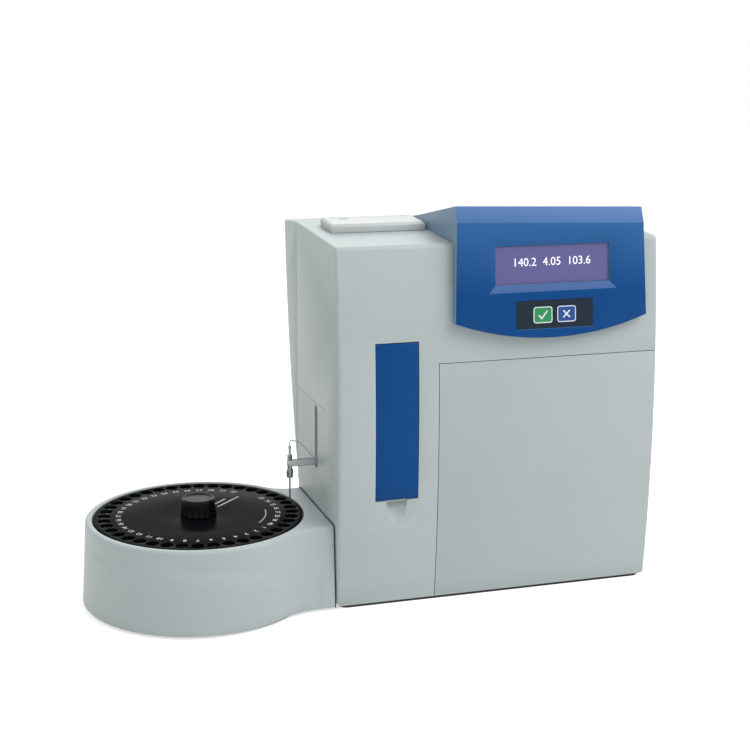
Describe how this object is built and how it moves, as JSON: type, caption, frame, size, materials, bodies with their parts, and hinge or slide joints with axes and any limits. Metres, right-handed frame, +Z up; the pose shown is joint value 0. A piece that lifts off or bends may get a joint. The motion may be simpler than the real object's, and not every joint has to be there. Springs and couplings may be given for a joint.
{
  "type": "electrolyte analyzer with autosampler",
  "caption": "Bench electrolyte analyzer: bowed housing with a leaning display console, service door, sample flap and roll printer, joined to a round autosampler turntable with a lifting needle.",
  "frame": {"origin": "middle of the whole footprint's extent, on the table under the feet", "axes": "+X to the analyzer's right seen from its front, +Y to its back, +Z up"},
  "size_m": [0.5976, 0.2478, 0.4114],
  "materials": {
    "grey_housing": "fine-textured moulded plastic, pale grey-green",
    "blue_plastic": "satin moulded plastic, blue",
    "white_plastic": "satin moulded plastic, off-white",
    "black_plastic": "semi-matt black plastic",
    "dark_overlay": "printed overlay film",
    "green_key": "satin key, green",
    "blue_key": "satin key, blue",
    "clear_acrylic": "clear acrylic",
    "circuit_board": "green circuit board",
    "plated_steel": "zinc-plated sheet",
    "stainless_steel": "ground stainless steel",
    "cast_alloy": "bead-blasted aluminium",
    "gear_plastic": "natural acetal",
    "silicone_tube": "translucent silicone",
    "clear_tube": "translucent fluoropolymer tube",
    "black_rubber": "black rubber",
    "receipt_paper": "thermal paper"
  },
  "bodies": {
    "housing": {"main_housing": "grey_housing", "side_access_panel": "grey_housing", "rear_cover": "grey_housing", "sampler_housing": "grey_housing", "rear_panel": "plated_steel", "base_plate": "plated_steel", "sampler_base": "plated_steel", "joining_bracket": "plated_steel", "lift_frame": "plated_steel", "rubber_feet": "black_rubber", "base_screws": "stainless_steel", "hinge_pins": "stainless_steel", "door_catch": "black_plastic", "bay_liner": "white_plastic", "reagent_pack": "white_plastic", "electrodes": "clear_acrylic", "electrode_clamp": "white_plastic", "sample_valve": "white_plastic", "pump_head": "white_plastic", "pump_tube": "silicone_tube", "pump_motor": "plated_steel", "sample_recess": "white_plastic", "manual_probe": "stainless_steel", "console_hood": "blue_plastic", "display_window": "clear_acrylic", "console_electronics": "circuit_board", "keypad_panel": "dark_overlay", "printer_tub": "black_plastic", "print_head": "black_plastic", "main_board": "circuit_board", "power_supply": "plated_steel", "mains_inlet": "black_plastic", "fuse_drawer": "black_plastic", "serial_port": "plated_steel", "turntable_motor": "plated_steel", "spindle_bearings": "stainless_steel", "guide_rods": "stainless_steel", "lift_motor": "plated_steel"},
    "door": {"service_door": "grey_housing"},
    "flap": {"sample_flap": "blue_plastic"},
    "lid": {"printer_lid": "white_plastic"},
    "platen": {"platen_roller": "black_rubber"},
    "roll": {"paper_roll": "receipt_paper", "roll_spindle": "black_plastic"},
    "pump_rotor": {"pump_rotor": "black_plastic"},
    "left_key": {"left_key": "green_key"},
    "right_key": {"right_key": "blue_key"},
    "rocker": {"power_rocker": "black_plastic"},
    "turntable": {"turntable_disc": "black_plastic", "tube_support_plate": "black_plastic", "turntable_knob": "black_plastic", "turntable_spindle": "stainless_steel", "turntable_gear": "gear_plastic"},
    "turntable_pinion": {"turntable_pinion": "stainless_steel"},
    "needle_lift": {"needle_arm": "cast_alloy", "needle": "stainless_steel", "needle_fittings": "stainless_steel", "capillary": "clear_tube", "lift_carriage": "gear_plastic"},
    "lift_pinion": {"lift_pinion": "stainless_steel"}
  },
  "joints": [
    {"name": "turntable_spin", "type": "hinge", "parent": "housing", "child": "turntable", "pos_m": [-0.1773, -0.0029, 0.0884], "axis": [0, 0, 1], "continuous": true},
    {"name": "turntable_pinion_spin", "type": "hinge", "parent": "housing", "child": "turntable_pinion", "pos_m": [-0.1323, -0.0029, 0.023], "axis": [0, 0, 1], "continuous": true},
    {"name": "needle_lift_slide", "type": "slide", "parent": "housing", "child": "needle_lift", "axis": [0, 0, 1], "range_m": [0, 0.05]},
    {"name": "lift_pinion_spin", "type": "hinge", "parent": "housing", "child": "lift_pinion", "pos_m": [-0.0412, 0.0201, 0.153], "axis": [1, 0, 0], "range_deg": [-359.5, 1]},
    {"name": "service_door_hinge", "type": "hinge", "parent": "housing", "child": "door", "pos_m": [0.2913, -0.0789, 0.023], "axis": [0, 0, 1], "range_deg": [0, 110]},
    {"name": "sample_flap_hinge", "type": "hinge", "parent": "housing", "child": "flap", "pos_m": [0.0108, -0.08689, 0.2751], "axis": [-1, 0, 0], "range_deg": [0, 80]},
    {"name": "printer_lid_hinge", "type": "hinge", "parent": "housing", "child": "lid", "pos_m": [0.0178, 0.03961, 0.38427], "axis": [-1, 0, 0], "range_deg": [0, 80]},
    {"name": "paper_roll_spin", "type": "hinge", "parent": "housing", "child": "roll", "pos_m": [0.0178, 0.01816, 0.34002], "axis": [1, 0, 0], "continuous": true},
    {"name": "platen_spin", "type": "hinge", "parent": "lid", "child": "platen", "pos_m": [0.0178, 0.01035, 0.37419], "axis": [1, 0, 0], "continuous": true},
    {"name": "pump_rotor_spin", "type": "hinge", "parent": "housing", "child": "pump_rotor", "pos_m": [0.2348, 0.0271, 0.189], "axis": [0, 1, 0], "continuous": true},
    {"name": "left_key_press", "type": "slide", "parent": "housing", "child": "left_key", "axis": [0, 0.995, -0.0995], "range_m": [0, 0.0008], "stiffness_N_per_m": 400, "springref_m": -0.0005},
    {"name": "right_key_press", "type": "slide", "parent": "housing", "child": "right_key", "axis": [0, 0.995, -0.0995], "range_m": [0, 0.0008], "stiffness_N_per_m": 400, "springref_m": -0.0005},
    {"name": "power_rocker_tip", "type": "hinge", "parent": "housing", "child": "rocker", "pos_m": [0.2608, 0.0651, 0.061], "axis": [-1, 0, 0], "range_deg": [0, 20]}
  ],
  "couplings": [
    {"joint": "turntable_pinion_spin", "follows": "turntable_spin", "ratio": -4},
    {"joint": "lift_pinion_spin", "follows": "needle_lift_slide", "rad_per_m": -125},
    {"joint": "platen_spin", "follows": "paper_roll_spin", "ratio": -3}
  ]
}
